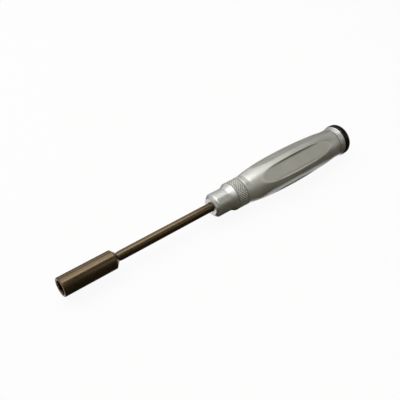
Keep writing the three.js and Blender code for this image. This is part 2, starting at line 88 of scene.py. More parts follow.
MIDDLE = CAP_END / 2
AXIS_HEIGHT = 9.56173
MM = 0.001
FULL_TURN = 2 * math.pi
WELD_DISTANCE = 2e-6

# How much the grip's rows crowd to its ends, and how steeply a panel's rule climbs past its side
ROW_CROWDING, BEYOND_PANEL = 0.75, 5
# Reach of the worn rims with their painted highlight, and depth of full painted shade, in rim widths, and where
# a panel's corner gets the most painted shade
BRIGHT_RIMS, FULL_SHADE_RIMS, CORNER_MIDDLE = 3, 5, 0.5


# Shapes

def softened(points, size):
    """The line of (place, radius) points with its sharp corners rounded."""
    sharp, most_of_side = math.radians(15), 0.45
    line = [points[0]]
    for before, corner, after in zip(points, points[1:], points[2:]):
        arriving = Vector(corner) - Vector(before)
        leaving = Vector(after) - Vector(corner)
        if arriving.angle(leaving, 0) < sharp:
            line.append(corner)
            continue
        start = Vector(corner) - arriving.normalized() * min(size, most_of_side * arriving.length)
        end = Vector(corner) + leaving.normalized() * min(size, most_of_side * leaving.length)
        for share in (0, 0.25, 0.5, 0.75, 1):
            near = start.lerp(Vector(corner), share)
            far = Vector(corner).lerp(end, share)
            line.append(tuple(near.lerp(far, share)))
    return line + [points[-1]]


def stretch(front, rear, steps, radius_at):
    """Points along a stretch whose radius follows a rule of its share from 0 to 1."""
    return [(front + (rear - front) * i / steps, radius_at(i / steps)) for i in range(steps + 1)]


def value_at(rule, angle):
    return rule(angle) if callable(rule) else rule


def turned(rings, columns, closed=False):
    """Mesh of rings round the driver's axis. A ring's place and radius are numbers or rules of the angle."""
    corners = []
    rows = []
    for place, radius in rings:
        start = len(corners)
        count = 1 if radius == 0 else columns
        for column in range(count):
            angle = FULL_TURN * column / columns
            reach = value_at(radius, angle)
            x = value_at(place, angle) - MIDDLE
            height = reach * math.sin(angle) + AXIS_HEIGHT
            corners.append((x * MM, reach * math.cos(angle) * MM, height * MM))
        rows.append([start + column % count for column in range(columns + 1)])
    faces = []
    pairs = list(zip(rows, rows[1:]))
    if closed:
        pairs.append((rows[-1], rows[0]))
    for this, following in pairs:
        for j in range(columns):
            face = [this[j], this[j + 1], following[j + 1], following[j]]
            faces.append(list(dict.fromkeys(face)))
    mesh = bpy.data.meshes.new("turned")
    mesh.from_pydata(corners, [], faces)
    mesh.update()
    return mesh


def make_piece(name, mesh, finish, body, slot, *nodes, crease=35):
    """A finished piece that rides on a body and stands for its solids."""
    mesh.name = name
    mesh.shade_smooth()
    mesh.set_sharp_from_angle(angle=math.radians(crease))
    mesh.materials.clear()
    mesh.materials.append(finish)
    piece = bpy.data.objects.new(name, mesh)
    bpy.context.collection.objects.link(piece)
    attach(piece, body)
    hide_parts(*nodes)


def evaluated(mesh, add_modifier):
    """Plain mesh that a modifier makes of a mesh."""
    worker = bpy.data.objects.new("worker", mesh)
    bpy.context.collection.objects.link(worker)
    add_modifier(worker)
    bpy.context.view_layer.update()
    result = bpy.data.meshes.new_from_object(worker.evaluated_get(bpy.context.evaluated_depsgraph_get()))
    worker.modifiers.clear()
    bpy.data.objects.remove(worker)
    return result


def hexagon(half_width):
    """Rule for a hexagon with a flat facing up."""
    sixth = FULL_TURN / 6
    return lambda angle: half_width / math.cos(angle % sixth - sixth / 2)


def radial_place():
    """Turns a piece made along the axis to stand on the axis at the set screw's angle."""
    middle = Matrix.Translation(Vector((SCREW_PLACE - MIDDLE, 0, AXIS_HEIGHT)) * MM)
    out = Vector((0, math.cos(SCREW_ANGLE), math.sin(SCREW_ANGLE)))
    back_to_zero = Matrix.Translation(Vector((MIDDLE, 0, -AXIS_HEIGHT)) * MM)
    return middle @ Vector((1, 0, 0)).rotation_difference(out).to_matrix().to_4x4() @ back_to_zero


def make_socket(finish):
    nut = hexagon(NUT_HALF_WIDTH)
    outside = softened([
        (0, NUT_LEAD_IN), (0, SOCKET_RADIUS - MOUTH_EDGE), (MOUTH_EDGE, SOCKET_RADIUS),
        (SOCKET_END, SOCKET_RADIUS), (SHOULDER_END, SHOULDER_END_RADIUS),
        (SHOULDER_END, SHAFT_SEAT)], SOCKET_ROUND)
    hollow = [
        (STUD_BORE_END, SHAFT_SEAT), (STUD_BORE_END, STUD_BORE), (NUT_DEPTH, STUD_BORE), (NUT_DEPTH, nut),
        (lambda angle: NUT_LEAD_IN - nut(angle), nut)]
    mesh = turned(outside + hollow, ROUND_COLUMNS, closed=True)
    make_piece("socket_body", mesh, finish, "driver", "coated_steel", "socket")


def make_shaft(finish):
    def screw_flat(angle):
        turn = math.cos(angle - SCREW_ANGLE)
        return min(SHAFT_RADIUS, SCREW_FLAT / turn) if turn > 0.1 else SHAFT_RADIUS

    front = softened([
        (SHAFT_FRONT, SHAFT_RADIUS), (SHOULDER_END, SHAFT_RADIUS), (SHOULDER_END, RELIEF_RADIUS),
        (SHOULDER_END + RELIEF_LENGTH / 2, RELIEF_RADIUS), (SHOULDER_END + RELIEF_LENGTH, SHAFT_RADIUS),
        (SCREW_PLACE - SCREW_FLAT_HALF, SHAFT_RADIUS)], SHAFT_ROUND)
    flat = [
        (SCREW_PLACE - SCREW_FLAT_HALF + SCREW_FLAT_STEP, screw_flat),
        (SCREW_PLACE + SCREW_FLAT_HALF - SCREW_FLAT_STEP, screw_flat)]
    rear = [
        (SCREW_PLACE + SCREW_FLAT_HALF, SHAFT_RADIUS), (SHAFT_END - SHAFT_CHAMFER, SHAFT_RADIUS),
        (SHAFT_END, SHAFT_RADIUS - SHAFT_CHAMFER)]
    rings = [(SHAFT_FRONT, 0)] + front + flat + rear + [(SHAFT_END, 0)]
    make_piece("shaft_rod", turned(rings, SHAFT_COLUMNS), finish, "driver", "coated_steel", "shaft")


def make_nose(finish):
    def cone(share):
        rounded = math.sin(share * math.pi / 2)
        return NOSE_FACE + (NOSE_BARREL - NOSE_FACE) * (share + (rounded - share) * NOSE_ROUNDNESS)

    def cove(share):
        return NOSE_BARREL + (COLLAR - NOSE_BARREL) * share ** COVE_HOLLOW

    spigot = [
        (FLARE_END, COLLAR - NOSE_CHAMFER), (FLARE_END, SPIGOT),
        (SPIGOT_END - NOSE_CHAMFER, SPIGOT), (SPIGOT_END, SPIGOT - NOSE_CHAMFER)]
    rings = [(SHAFT_BORE_END, 0), (SHAFT_BORE_END, SHAFT_SEAT)] + softened(
        [(NOSE_FRONT + NOSE_BORE_LEAD, SHAFT_SEAT), (NOSE_FRONT, SHAFT_SEAT)]
        + stretch(NOSE_FRONT, BARREL_FRONT, CONE_STEPS, cone)
        + stretch(COVE_FRONT, FLARE_END - NOSE_CHAMFER, COVE_STEPS, cove)
        + spigot, NOSE_ROUND) + [(SPIGOT_END, 0)]
    hole = [(0, 0), (0, SCREW_HOLE), (DRILL_REACH, SCREW_HOLE), (DRILL_REACH, 0)]
    drill = bpy.data.objects.new("drill", turned(hole, DRILL_COLUMNS))
    drill.data.transform(radial_place())
    bpy.context.collection.objects.link(drill)

    def drilled(worker):
        cut = worker.modifiers.new("screw hole", "BOOLEAN")
        cut.object = drill
        cut.solver = "EXACT"

    mesh = evaluated(turned(rings, ROUND_COLUMNS), drilled)
    bpy.data.objects.remove(drill)
    make_piece("nose_piece", mesh, finish, "driver", "polished_aluminium", "nose")


def make_set_screw(finish):
    key = hexagon(SCREW_KEY)
    outside = softened([
        (SCREW_TIP, SCREW_POINT), (SCREW_TIP, SCREW_RADIUS - SCREW_TIP_CHAMFER),
        (SCREW_TIP + SCREW_TIP_CHAMFER, SCREW_RADIUS), (SCREW_TOP - SCREW_TOP_CHAMFER, SCREW_RADIUS),
        (SCREW_TOP, SCREW_RADIUS - SCREW_TOP_CHAMFER), (SCREW_TOP, SCREW_KEY_MOUTH)], SCREW_ROUND)
    floor = SCREW_TOP - SCREW_KEY_DEPTH
    hollow = [(SCREW_TOP - SCREW_KEY_LEAD, key), (floor, key), (floor - SCREW_KEY_POINT, 0)]
    mesh = turned([(SCREW_TIP, 0)] + outside + hollow, SCREW_COLUMNS)
    mesh.transform(radial_place())
    make_piece("set_screw_body", mesh, finish, "driver", "blackened_steel", "tip_set_screw")


def make_ferrule(finish):
    def flare(place):
        share = (place - FERRULE_FRONT) / (FERRULE_END - FERRULE_FRONT)
        return WAIST + (FERRULE_RIM - WAIST) * max(share, 0) ** FERRULE_SWEEP

    pitch = (FERRULE_END - FERRULE_FRONT) / (FERRULE_GROOVES + 1)
    half_floor = GROOVE_FLOOR_SHARE / 2
    lands = []
    for i in range(FERRULE_GROOVES):
        middle = FERRULE_FRONT + (i + 1) * pitch
        for offset, depth in ((-0.5, 0), (-half_floor, 1), (half_floor, 1), (0.5, 0)):
            place = middle + offset * GROOVE_WIDTH
            lands.append((place, flare(place) - depth * GROOVE_DEPTH))
    outside = softened([
        (FERRULE_SPIGOT_FRONT, FERRULE_BORE), (FERRULE_SPIGOT_FRONT, FERRULE_SPIGOT),
        (FERRULE_FRONT, FERRULE_SPIGOT), (FERRULE_FRONT, WAIST), *lands,
        (FERRULE_END, FERRULE_RIM), (FERRULE_END, BEARING_SEAT)], FERRULE_ROUND)
    inside = [
        (CLIP_REAR, BEARING_SEAT), (CLIP_REAR, CLIP_GROOVE), (CLIP_FRONT, CLIP_GROOVE),
        (CLIP_FRONT, BEARING_SEAT), (BEARING_STOP, BEARING_SEAT), (BEARING_STOP, FERRULE_BORE)]
    mesh = turned(outside + inside, ROUND_COLUMNS, closed=True)
    make_piece("ferrule_ring", mesh, finish, "driver", "polished_aluminium", "tail_ferrule")


def make_cap(finish):
    def rounding(share):
        angle = share * math.pi / 2
        return CAP_END - CAP_ROUND * (1 - math.sin(angle)), CAP_RADIUS - CAP_ROUND * (1 - math.cos(angle))

    boss = [
        (CAP_HOLE_END, 0), (CAP_HOLE_END, CAP_HOLE), (CAP_BOSS_FRONT, CAP_HOLE), (CAP_BOSS_FRONT, CAP_BOSS)]
    outside = softened([
        (CAP_FRONT, CAP_BOSS), (CAP_FRONT, CAP_RADIUS - CAP_CHAMFER), (CAP_FRONT + CAP_CHAMFER, CAP_RADIUS),
        *[rounding(i / CAP_STEPS) for i in range(CAP_STEPS + 1)], (CAP_END, CAP_DISC)], CAP_EDGE_ROUND)
    mesh = turned(boss + outside + [(CAP_END, 0)], ROUND_COLUMNS)
    make_piece("palm_cap_body", mesh, finish, "palm_cap", "black_cap", "swivel_cap", crease=40)


# Geometry nodes for the knurl and the barrel

def shape_tree(name, sizes):
    """Empty geometry tree with named sizes and a material."""
    tree = bpy.data.node_groups.new(name, "GeometryNodeTree")
    tree.interface.new_socket("Geometry", in_out="INPUT", socket_type="NodeSocketGeometry")
    for size, kind in sizes:
        tree.interface.new_socket(size, in_out="INPUT", socket_type=kind)
    tree.interface.new_socket("Finish", in_out="INPUT", socket_type="NodeSocketMaterial")
    tree.interface.new_socket("Geometry", in_out="OUTPUT", socket_type="NodeSocketGeometry")
    return tree, tree.nodes.new("NodeGroupInput"), tree.nodes.new("NodeGroupOutput")


def feed(tree, socket, value):
    """Links a socket to another, or sets its number."""
    if isinstance(value, bpy.types.NodeSocket):
        tree.links.new(value, socket)
    else:
        socket.default_value = value


def calc(tree, operation, *values):
    """Math node on sockets or numbers."""
    node = tree.nodes.new("ShaderNodeMath")
    node.operation = operation
    for socket, value in zip(node.inputs, values):
        feed(tree, socket, value)
    return node.outputs[0]


def skin_grid(tree, given):
    """Grid over the skin with its share along the piece and round it."""
    grid = tree.nodes.new("GeometryNodeMeshGrid")
    grid.inputs["Size X"].default_value = 1
    grid.inputs["Size Y"].default_value = 1
    tree.links.new(given.outputs["Rows"], grid.inputs["Vertices X"])
    tree.links.new(calc(tree, "ADD", given.outputs["Columns"], 1), grid.inputs["Vertices Y"])
    split = tree.nodes.new("ShaderNodeSeparateXYZ")
    tree.links.new(tree.nodes.new("GeometryNodeInputPosition").outputs[0], split.inputs[0])
    along = calc(tree, "ADD", split.outputs["X"], 0.5)
    around = calc(tree, "ADD", split.outputs["Y"], 0.5)
    return grid.outputs["Mesh"], along, around


def close_skin(tree, given, result, skin, along, angle, radius):
    """Lays the grid round the axis, joins it to the bore and gives it its finish."""
    place = tree.nodes.new("ShaderNodeCombineXYZ")
    forward = calc(tree, "MULTIPLY_ADD", along, given.outputs["Length"], given.outputs["Front"])
    tree.links.new(forward, place.inputs["X"])
    tree.links.new(calc(tree, "MULTIPLY", radius, calc(tree, "COSINE", angle)), place.inputs["Y"])
    height = calc(tree, "MULTIPLY_ADD", radius, calc(tree, "SINE", angle), given.outputs["Axis Height"])
    tree.links.new(height, place.inputs["Z"])
    lay = tree.nodes.new("GeometryNodeSetPosition")
    tree.links.new(skin, lay.inputs["Geometry"])
    tree.links.new(place.outputs[0], lay.inputs["Position"])
    flip = tree.nodes.new("GeometryNodeFlipFaces")
    tree.links.new(lay.outputs[0], flip.inputs["Mesh"])
    join = tree.nodes.new("GeometryNodeJoinGeometry")
    tree.links.new(given.outputs["Geometry"], join.inputs[0])
    tree.links.new(flip.outputs[0], join.inputs[0])
    weld = tree.nodes.new("GeometryNodeMergeByDistance")
    weld.inputs["Distance"].default_value = WELD_DISTANCE
    tree.links.new(join.outputs[0], weld.inputs["Geometry"])
    realize = tree.nodes.new("GeometryNodeRealizeInstances")
    tree.links.new(weld.outputs[0], realize.inputs["Geometry"])
    coat = tree.nodes.new("GeometryNodeSetMaterial")
    tree.links.new(realize.outputs[0], coat.inputs["Geometry"])
    tree.links.new(given.outputs["Finish"], coat.inputs["Material"])
    tree.links.new(coat.outputs[0], result.inputs["Geometry"])


def keep_share(tree, skin, name, share):
    """Stores a share from 0 to 1 at each point, for the finish."""
    store = tree.nodes.new("GeometryNodeStoreNamedAttribute")
    store.data_type = "FLOAT"
    store.domain = "POINT"
    store.inputs["Name"].default_value = name
    tree.links.new(skin, store.inputs["Geometry"])
    tree.links.new(share, store.inputs["Value"])
    return store.outputs[0]


LENGTHS = ["Front", "Length", "Axis Height"]
COUNTS = [("Rows", "NodeSocketInt"), ("Columns", "NodeSocketInt")]


def lengths(*names):
    return [(name, "NodeSocketFloat") for name in (*LENGTHS, *names)]


def knurl_tree():
    """Two sets of grooves that cross leave rows of diamonds."""
    tree, given, result = shape_tree(
        "Diamond knurl", lengths("Radius", "Depth", "Diamonds", "Diagonals", "Edge") + COUNTS)
    skin, along, around = skin_grid(tree, given)
    size = given.outputs
    across = calc(tree, "MULTIPLY", around, size["Diamonds"])
    slant = calc(tree, "MULTIPLY", along, size["Diagonals"])
    left = calc(tree, "PINGPONG", calc(tree, "ADD", across, slant), 0.5)
    right = calc(tree, "PINGPONG", calc(tree, "SUBTRACT", across, slant), 0.5)
    pyramid = calc(tree, "MULTIPLY", calc(tree, "MINIMUM", left, right), KNURL_STEEPNESS)
    diamond = calc(tree, "SMOOTH_MIN", pyramid, 1.0, KNURL_BLUNTNESS)
    from_end = calc(tree, "MINIMUM", along, calc(tree, "SUBTRACT", 1, along))
    ramp = calc(tree, "DIVIDE", calc(tree, "MULTIPLY", from_end, size["Length"]), size["Edge"])
    height = calc(tree, "MULTIPLY", diamond, calc(tree, "MINIMUM", ramp, 1))
    sunk = calc(tree, "SUBTRACT", calc(tree, "MULTIPLY", height, size["Depth"]), size["Depth"])
    radius = calc(tree, "ADD", size["Radius"], sunk)
    # Groove share, where the finish paints shade into the knurl's grooves
    skin = keep_share(tree, skin, "knurl_groove", calc(tree, "SUBTRACT", 1, height))
    close_skin(tree, given, result, skin, along, calc(tree, "MULTIPLY", around, FULL_TURN), radius)
    return tree


def sunk_panel(tree, size, turn, floor):
    """Distance from the axis to a panel's floor, then its rounded side, and past the panel a long way out."""
    sine, cosine = calc(tree, "SINE", turn), calc(tree, "COSINE", turn)
    across, corner = size["Corner Across"], size["Corner"]
    height = calc(tree, "ADD", floor, corner)
    level = calc(tree, "DIVIDE", floor, cosine)
    nearest = calc(tree, "MULTIPLY_ADD", height, cosine, calc(tree, "MULTIPLY", across, sine))
    across_share = calc(tree, "MULTIPLY", across, cosine)
    aside = calc(tree, "SUBTRACT", calc(tree, "MULTIPLY", height, sine), across_share)
    aside_square = calc(tree, "MULTIPLY", aside, aside)
    inside = calc(tree, "MULTIPLY_ADD", corner, corner, calc(tree, "MULTIPLY", aside_square, -1))
    side = calc(tree, "SUBTRACT", nearest, calc(tree, "SQRT", calc(tree, "MAXIMUM", inside, 0)))
    past = calc(tree, "MAXIMUM", calc(tree, "SUBTRACT", aside, corner), 0)
    side = calc(tree, "MULTIPLY_ADD", past, BEYOND_PANEL, side)
    rising = calc(tree, "GREATER_THAN", calc(tree, "MULTIPLY", level, sine), across)
    return calc(tree, "MULTIPLY_ADD", rising, calc(tree, "SUBTRACT", side, level), level)


def barrel_tree():
    """Neck, full shoulder, belly and slim waist, with panels sunk all round."""
    sizes = lengths(
        "Neck Radius", "Belly Radius", "Waist Radius", "Neck End", "Belly Place", "Waist Front", "Edge",
        "Front Fullness", "Rear Fullness", "Panels", "Panel Reach", "Panel Half Length", "Panel Scoop",
        "Corner", "Corner Across", "Rim")
    tree, given, result = shape_tree("Barrel grip", sizes + COUNTS)
    skin, along, around = skin_grid(tree, given)
    crowding = calc(tree, "SINE", calc(tree, "MULTIPLY", along, FULL_TURN))
    along = calc(tree, "MULTIPLY_ADD", crowding, -ROW_CROWDING / FULL_TURN, along)
    size = given.outputs
    place = calc(tree, "MULTIPLY_ADD", along, size["Length"], size["Front"])

    def share(start, end):
        node = tree.nodes.new("ShaderNodeMapRange")
        for socket, value in (("Value", place), ("From Min", start), ("From Max", end)):
            feed(tree, node.inputs[socket], value)
        return node.outputs["Result"]

    rest = calc(tree, "SUBTRACT", 1, share(size["Neck End"], size["Belly Place"]))
    full = calc(tree, "SUBTRACT", 1, calc(tree, "MULTIPLY", rest, rest))
    swell = calc(tree, "POWER", full, size["Front Fullness"])
    rise = calc(tree, "SUBTRACT", size["Belly Radius"], size["Neck Radius"])
    fall = calc(tree, "SUBTRACT", size["Belly Radius"], size["Waist Radius"])
    slope = calc(tree, "POWER", share(size["Belly Place"], size["Waist Front"]), size["Rear Fullness"])
    drop = calc(tree, "MULTIPLY", fall, slope)
    barrel = calc(tree, "SUBTRACT", calc(tree, "MULTIPLY_ADD", rise, swell, size["Neck Radius"]), drop)
    to_front = calc(tree, "MULTIPLY", along, size["Length"])
    to_rear = calc(tree, "SUBTRACT", size["Length"], to_front)
    nearest_end = calc(tree, "MINIMUM", to_front, to_rear)
    broken = calc(tree, "MAXIMUM", calc(tree, "SUBTRACT", size["Edge"], nearest_end), 0)
    angle = calc(tree, "MULTIPLY", around, FULL_TURN)
    half_sector = calc(tree, "DIVIDE", math.pi, size["Panels"])
    other_half = calc(tree, "MULTIPLY", half_sector, -1)
    from_panel = calc(tree, "WRAP", calc(tree, "ADD", angle, math.pi / 2), half_sector, other_half)
    turn = calc(tree, "ABSOLUTE", from_panel)
    to_belly = calc(tree, "SUBTRACT", place, size["Belly Place"])
    from_middle = calc(tree, "DIVIDE", to_belly, size["Panel Half Length"])
    bow = calc(tree, "MULTIPLY", size["Panel Scoop"], calc(tree, "MULTIPLY", from_middle, from_middle))
    panel = sunk_panel(tree, size, turn, calc(tree, "ADD", size["Panel Reach"], bow))
    radius = calc(tree, "SMOOTH_MIN", calc(tree, "SUBTRACT", barrel, broken), panel, size["Rim"])
    gap = calc(tree, "SUBTRACT", barrel, panel)
    # Nearness to a panel's rim, for the worn rims with their painted highlight
    rim = calc(tree, "DIVIDE", calc(tree, "ABSOLUTE", gap), calc(tree, "MULTIPLY", size["Rim"], BRIGHT_RIMS))
    skin = keep_share(tree, skin, "panel_rim", calc(tree, "SUBTRACT", 1, calc(tree, "MINIMUM", rim, 1)))
    # Painted shade in a panel's rounded corner: strongest midway across the corner, and fuller deeper into the
    # sunk side
    side = calc(tree, "MULTIPLY", size["Panel Reach"], calc(tree, "TANGENT", turn))
    corner_place = calc(tree, "MULTIPLY_ADD", size["Corner"], CORNER_MIDDLE, size["Corner Across"])
    off_corner = calc(tree, "SUBTRACT", side, corner_place)
    near = calc(tree, "SUBTRACT", 1, calc(tree, "DIVIDE", calc(tree, "ABSOLUTE", off_corner), size["Corner"]))
    depth = calc(tree, "DIVIDE", gap, calc(tree, "MULTIPLY", size["Rim"], FULL_SHADE_RIMS))
    depth = calc(tree, "MINIMUM", calc(tree, "MAXIMUM", depth, 0), 1)
    painted_shade = calc(tree, "MULTIPLY", calc(tree, "MAXIMUM", near, 0), depth)
    skin = keep_share(tree, skin, "panel_corner", painted_shade)
    close_skin(tree, given, result, skin, along, angle, radius)
    return tree


def grown(tree, bore, sizes, finish):
    """The tree's skin closed over a bore, as a plain mesh."""
    def add_tree(worker):
        modifier = worker.modifiers.new(tree.name, "NODES")
        modifier.node_group = tree
        values = dict(sizes, Finish=finish)
        for item in tree.interface.items_tree:
            if item.in_out == "INPUT" and item.name in values:
                modifier[item.identifier] = values[item.name]

    return evaluated(bore, add_tree)


def make_knurled_ring(finish):
    valley = COLLAR - KNURL_DEPTH
    columns = KNURL_DIAMONDS * COLUMNS_PER_DIAMOND
    bore = turned([
        (KNURL_END, valley), (KNURL_END, FRONT_SEAT), (KNURL_FRONT, FRONT_SEAT),
        (KNURL_FRONT, valley)], columns)
    sizes = {
        "Front": (KNURL_FRONT - MIDDLE) * MM, "Length": (KNURL_END - KNURL_FRONT) * MM,
        "Axis Height": AXIS_HEIGHT * MM, "Radius": COLLAR * MM, "Depth": KNURL_DEPTH * MM,
        "Diamonds": float(KNURL_DIAMONDS), "Diagonals": KNURL_DIAGONALS, "Edge": KNURL_EDGE * MM,
        "Rows": KNURL_ROWS, "Columns": columns}
    mesh = grown(knurl_tree(), bore, sizes, finish)
    make_piece("knurl_band", mesh, finish, "driver", "satin_aluminium", "knurled_ring", crease=45)


def make_grip(finish):
    bore = turned([
        (GRIP_END, WAIST - GRIP_EDGE), (GRIP_END, REAR_SEAT), (REAR_STOP, REAR_SEAT), (REAR_STOP, GRIP_BORE),
        (FRONT_STOP, GRIP_BORE), (FRONT_STOP, FRONT_SEAT), (GRIP_FRONT, FRONT_SEAT),
        (GRIP_FRONT, COLLAR - GRIP_EDGE)], GRIP_COLUMNS)
    sizes = {
        "Front": (GRIP_FRONT - MIDDLE) * MM, "Length": (GRIP_END - GRIP_FRONT) * MM,
        "Axis Height": AXIS_HEIGHT * MM, "Neck Radius": COLLAR * MM, "Belly Radius": BELLY * MM,
        "Waist Radius": WAIST * MM, "Neck End": (NECK_END - MIDDLE) * MM,
        "Belly Place": (BELLY_PLACE - MIDDLE) * MM, "Waist Front": (WAIST_FRONT - MIDDLE) * MM,
        "Edge": GRIP_EDGE * MM, "Front Fullness": FRONT_FULLNESS, "Rear Fullness": REAR_FULLNESS,
        "Panels": float(PANEL_COUNT), "Panel Reach": PANEL_REACH * MM,
        "Panel Half Length": PANEL_HALF_LENGTH * MM, "Panel Scoop": PANEL_SCOOP * MM,
        "Corner": PANEL_CORNER * MM, "Corner Across": (PANEL_HALF_WIDTH - PANEL_CORNER) * MM,
        "Rim": PANEL_RIM * MM, "Rows": GRIP_ROWS, "Columns": GRIP_COLUMNS}
    mesh = grown(barrel_tree(), bore, sizes, finish)
    make_piece("grip_barrel", mesh, finish, "driver", "satin_aluminium", "handle_grip", crease=40)


# Finishes

class Finish:
    """Material whose colour, roughness and relief come from nodes."""

    def __init__(self, name, metal, **gloss):
        self.material = bpy.data.materials.new(name)
        self.material.use_nodes = True
        self.tree = self.material.node_tree
        self.shader = self.tree.nodes["Principled BSDF"]
        self.shader.inputs["Metallic"].default_value = metal
        for socket, value in gloss.items():
            self.shader.inputs[socket.replace("_", " ")].default_value = value
        coordinates = self.tree.nodes.new("ShaderNodeTexCoord")
        self.middle = self.tree.nodes.new("ShaderNodeMapping")
        self.middle.inputs["Location"].default_value = (0, 0, -AXIS_HEIGHT * MM)
        self.tree.links.new(coordinates.outputs["Object"], self.middle.inputs["Vector"])

    def turned_coordinates(self, round_share):
        """Along the axis, out from it, and a little of the angle round it."""
        split = self.tree.nodes.new("ShaderNodeSeparateXYZ")
        self.tree.links.new(self.middle.outputs[0], split.inputs[0])
        aside, up = split.outputs["Y"], split.outputs["Z"]
        square = calc(self.tree, "MULTIPLY_ADD", aside, aside, calc(self.tree, "MULTIPLY", up, up))
        out = calc(self.tree, "SQRT", square)
        turn = calc(self.tree, "ARCTAN2", up, aside)
        joined = self.tree.nodes.new("ShaderNodeCombineXYZ")
        self.tree.links.new(split.outputs["X"], joined.inputs["X"])
        self.tree.links.new(out, joined.inputs["Y"])
        self.tree.links.new(calc(self.tree, "MULTIPLY", turn, round_share), joined.inputs["Z"])
        return joined.outputs[0]

    def noise(self, scale, detail=2.0, vector=None, roughness=0.5):
        node = self.tree.nodes.new("ShaderNodeTexNoise")
        node.inputs["Scale"].default_value = scale
        node.inputs["Detail"].default_value = detail
        node.inputs["Roughness"].default_value = roughness
        self.tree.links.new(vector or self.middle.outputs[0], node.inputs["Vector"])
        return node.outputs["Fac"]

    def stored(self, name):
        """Share that the mesh stores at each point."""
        node = self.tree.nodes.new("ShaderNodeAttribute")
        node.attribute_name = name
        return node.outputs["Fac"]

    def between(self, share, low, high):
        """Number that runs from low to high as a noise runs over its middle range."""
        node = self.tree.nodes.new("ShaderNodeMapRange")
        node.inputs["From Min"].default_value = 0.3
        node.inputs["From Max"].default_value = 0.7
        node.inputs["To Min"].default_value = low
        node.inputs["To Max"].default_value = high
        self.tree.links.new(share, node.inputs["Value"])
        return node.outputs["Result"]

    def blend(self, share, first, second):
        """Colour mixed from two, each a colour or a socket."""
        node = self.tree.nodes.new("ShaderNodeMix")
        node.data_type = "RGBA"
        colours = [socket for socket in node.inputs if socket.type == "RGBA"]
        for socket, colour in zip(colours, (first, second)):
            feed(self.tree, socket, colour if isinstance(colour, bpy.types.NodeSocket) else (*colour, 1))
        feed(self.tree, node.inputs["Factor"], share)
        return next(socket for socket in node.outputs if socket.type == "RGBA")

    def sum(self, first, second):
        return calc(self.tree, "ADD", first, second)

    def set(self, **sockets):
        for name, value in sockets.items():
            self.tree.links.new(value, self.shader.inputs[name.replace("_", " ")])

    def relief(self, height, distance):
        node = self.tree.nodes.new("ShaderNodeBump")
        node.inputs["Distance"].default_value = distance
        node.inputs["Strength"].default_value = 1.0
        self.tree.links.new(height, node.inputs["Height"])
        self.tree.links.new(node.outputs[0], self.shader.inputs["Normal"])


def bronze_coating():
    """Hard bronze-brown coating over turned steel."""
    finish = Finish("bronze coating", 1.0)
    lines = finish.noise(2600, 3, finish.turned_coordinates(0.0006))
    cloud = finish.noise(90, 3)
    tint = finish.blend(finish.between(cloud, 0, 1), (0.131, 0.098, 0.059), (0.143, 0.104, 0.067))
    finish.set(Base_Color=finish.blend(finish.between(lines, 0, 0.35), tint, (0.097, 0.072, 0.043)))
    finish.set(Roughness=finish.sum(finish.between(lines, 0.2, 0.3), finish.between(cloud, -0.03, 0.04)))
    finish.relief(lines, 4e-6)
    return finish.material


def polished_aluminium():
    """Turned and polished, with fine lathe lines."""
    finish = Finish("polished aluminium", 0.96)
    lines = finish.noise(2400, 3, finish.turned_coordinates(0.0008))
    smudge = finish.noise(140, 3)
    dull, bright = (0.6, 0.605, 0.595), (0.68, 0.685, 0.675)
    finish.set(Base_Color=finish.blend(finish.between(lines, 0, 1), dull, bright))
    finish.set(Roughness=finish.sum(finish.between(lines, 0.35, 0.42), finish.between(smudge, -0.03, 0.05)))
    finish.relief(lines, 5e-6)
    return finish.material


def satin_aluminium(name, shaded_in, shade_strength, brightened_along=None):
    """Fine-blasted grey aluminium, with painted shade darkening its hollows, and its rims made bright by wear
    and a painted highlight.
    """
    finish = Finish(name, 0.9)
    grain = finish.noise(5200, 2)
    handling = finish.noise(70, 4, roughness=0.6)
    grey = finish.blend(finish.between(handling, 0, 1), (0.61, 0.615, 0.585), (0.73, 0.73, 0.7))
    base = finish.blend(finish.between(grain, 0, 0.25), grey, (0.56, 0.56, 0.535))
    rough = finish.sum(finish.between(grain, 0.42, 0.48), finish.between(handling, -0.05, 0.05))
    # Painted shade: the stored hollow share darkens the grey, in patches, towards the grey below
    patchy = finish.between(handling, shade_strength - 0.1, shade_strength + 0.1)
    painted_shade = calc(finish.tree, "MULTIPLY", finish.stored(shaded_in), patchy)
    base = finish.blend(painted_shade, base, (0.3, 0.295, 0.27))
    # Worn rims that also carry a painted highlight: lightened to a pale grey and made smoother
    if brightened_along:
        worn_and_sheen = calc(finish.tree, "MULTIPLY", finish.stored(brightened_along), finish.between(handling, 0.5, 1.0))
        base = finish.blend(worn_and_sheen, base, (0.85, 0.85, 0.82))
        rough = calc(finish.tree, "MULTIPLY_ADD", worn_and_sheen, -0.12, rough)
    finish.set(Base_Color=base, Roughness=rough)
    finish.relief(grain, 6e-6)
    return finish.material


def black_cap():
    """Glossy black moulding with faint moulding marks and fine scuffs."""
    finish = Finish("black cap", 0.0, Specular_IOR_Level=0.25)
    fine = finish.noise(3000, 2)
    scuff = finish.noise(260, 5, finish.turned_coordinates(0.004), 0.65)
    clean, scuffed = (0.002, 0.002, 0.0022), (0.004, 0.004, 0.0043)
    finish.set(Base_Color=finish.blend(finish.between(scuff, 0, 1), clean, scuffed))
    finish.set(Roughness=finish.sum(finish.between(scuff, 0.12, 0.2), finish.between(fine, -0.02, 0.03)))
    finish.relief(fine, 3e-6)
    return finish.material


def ground_metal(name, dark, bright, low, high):
    """Small steel and brass pieces with fine grinding lines."""
    finish = Finish(name, 1.0)
    lines = finish.noise(5000, 2, finish.turned_coordinates(0.002))
    finish.set(Base_Color=finish.blend(finish.between(lines, 0, 1), dark, bright))
    finish.set(Roughness=finish.between(lines, low, high))
    finish.relief(lines, 2e-6)
    return finish.material


# Stage, light and camera

